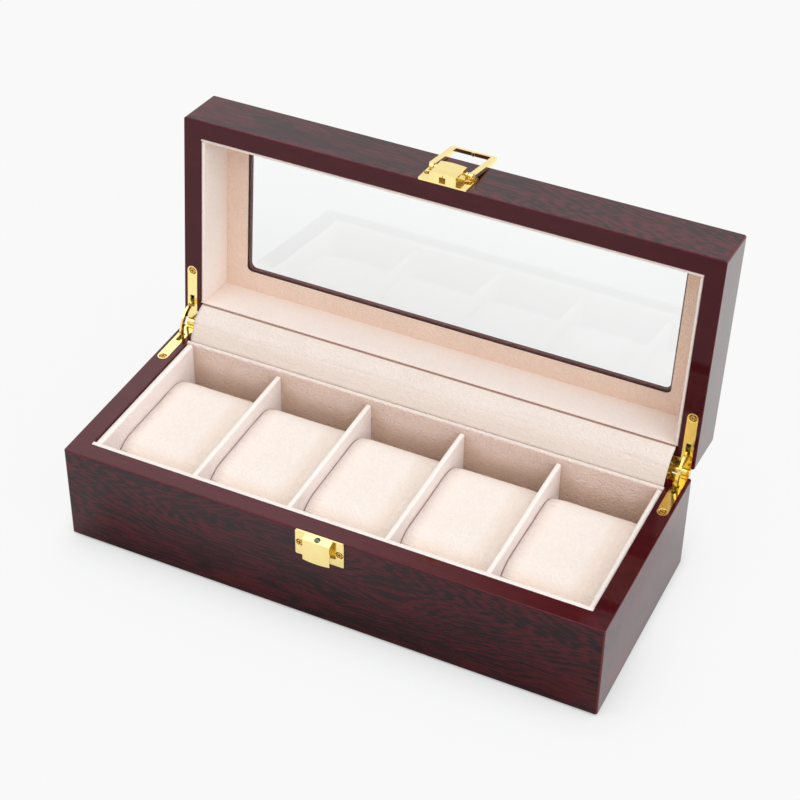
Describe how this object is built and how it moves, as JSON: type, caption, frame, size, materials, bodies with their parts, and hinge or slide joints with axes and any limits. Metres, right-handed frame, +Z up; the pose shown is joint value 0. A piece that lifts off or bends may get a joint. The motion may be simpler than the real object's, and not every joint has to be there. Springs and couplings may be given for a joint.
{
  "type": "watch display box",
  "caption": "Lacquered wooden display box lined with velvet, with lift-out watch pillows, a glazed hinged lid on stay hinges and a loop latch.",
  "frame": {"origin": "centre of the felt underside of the base, on the surface it stands on", "axes": "+X along the length, with the latch near the middle of the -Y side, +Y from the latch towards the hinges, +Z up"},
  "size_m": [0.305, 0.1862, 0.1936],
  "materials": {
    "wood": "high-gloss lacquer",
    "velvet": "short pile",
    "pillow_velvet": "short pile",
    "gold": "polished gilt",
    "steel": "polished",
    "glass": "clear",
    "felt": "felt"
  },
  "bodies": {
    "base": {"base_front_panel": "wood", "base_back_panel": "wood", "base_left_panel": "wood", "base_right_panel": "wood", "base_bottom_panel": "wood", "base_felt": "felt", "base_floor_lining": "velvet", "base_front_lining": "velvet", "base_back_lining": "velvet", "base_left_lining": "velvet", "base_right_lining": "velvet", "divider_1": "velvet", "divider_2": "velvet", "divider_3": "velvet", "divider_4": "velvet", "base_hinge_leaf_left": "gold", "base_hinge_leaf_right": "gold", "hinge_pin_left": "gold", "hinge_pin_right": "gold", "base_hinge_screws": "gold", "catch_plate": "gold", "catch_stud": "steel", "catch_screws": "gold", "hinge_cover": "velvet"},
    "lid": {"lid_front_panel": "wood", "lid_back_panel": "wood", "lid_left_panel": "wood", "lid_right_panel": "wood", "lid_top_panel": "wood", "lid_glass": "glass", "lid_velvet_mat": "velvet", "lid_front_lining": "velvet", "lid_back_lining": "velvet", "lid_left_lining": "velvet", "lid_right_lining": "velvet", "lid_hinge_leaf_left": "gold", "lid_hinge_leaf_right": "gold", "lid_hinge_screws": "gold", "latch_plate": "gold", "latch_pin": "gold", "latch_screws": "gold"},
    "stay_left": {"stay_left": "gold"},
    "stay_right": {"stay_right": "gold"},
    "latch_loop": {"latch_loop": "gold"},
    "pillow_1": {"pillow_1": "pillow_velvet"},
    "pillow_2": {"pillow_2": "pillow_velvet"},
    "pillow_3": {"pillow_3": "pillow_velvet"},
    "pillow_4": {"pillow_4": "pillow_velvet"},
    "pillow_5": {"pillow_5": "pillow_velvet"}
  },
  "joints": [
    {"name": "lid_hinge", "type": "hinge", "parent": "base", "child": "lid", "pos_m": [0, 0.0653, 0.06], "axis": [-1, 0, 0], "range_deg": [-95.4, 0], "deforming": ["hinge_cover"]},
    {"name": "stay_left_swing", "type": "hinge", "parent": "base", "child": "stay_left", "pos_m": [-0.1475, 0.0653, 0.06], "axis": [-1, 0, 0], "range_deg": [-47.7, 0]},
    {"name": "stay_right_swing", "type": "hinge", "parent": "base", "child": "stay_right", "pos_m": [0.1475, 0.0653, 0.06], "axis": [-1, 0, 0], "range_deg": [-47.7, 0]},
    {"name": "latch_swing", "type": "hinge", "parent": "lid", "child": "latch_loop", "pos_m": [-0.0006, 0.08856, 0.18918], "axis": [-1, 0, 0], "range_deg": [-183.4, 0]},
    {"name": "pillow_1_lift", "type": "slide", "parent": "base", "child": "pillow_1", "axis": [0, 0, 1], "range_m": [0, 0.06]},
    {"name": "pillow_2_lift", "type": "slide", "parent": "base", "child": "pillow_2", "axis": [0, 0, 1], "range_m": [0, 0.06]},
    {"name": "pillow_3_lift", "type": "slide", "parent": "base", "child": "pillow_3", "axis": [0, 0, 1], "range_m": [0, 0.06]},
    {"name": "pillow_4_lift", "type": "slide", "parent": "base", "child": "pillow_4", "axis": [0, 0, 1], "range_m": [0, 0.06]},
    {"name": "pillow_5_lift", "type": "slide", "parent": "base", "child": "pillow_5", "axis": [0, 0, 1], "range_m": [0, 0.06]}
  ],
  "couplings": [
    {"joint": "stay_left_swing", "follows": "lid_hinge", "ratio": 0.5},
    {"joint": "stay_right_swing", "follows": "lid_hinge", "ratio": 0.5}
  ]
}
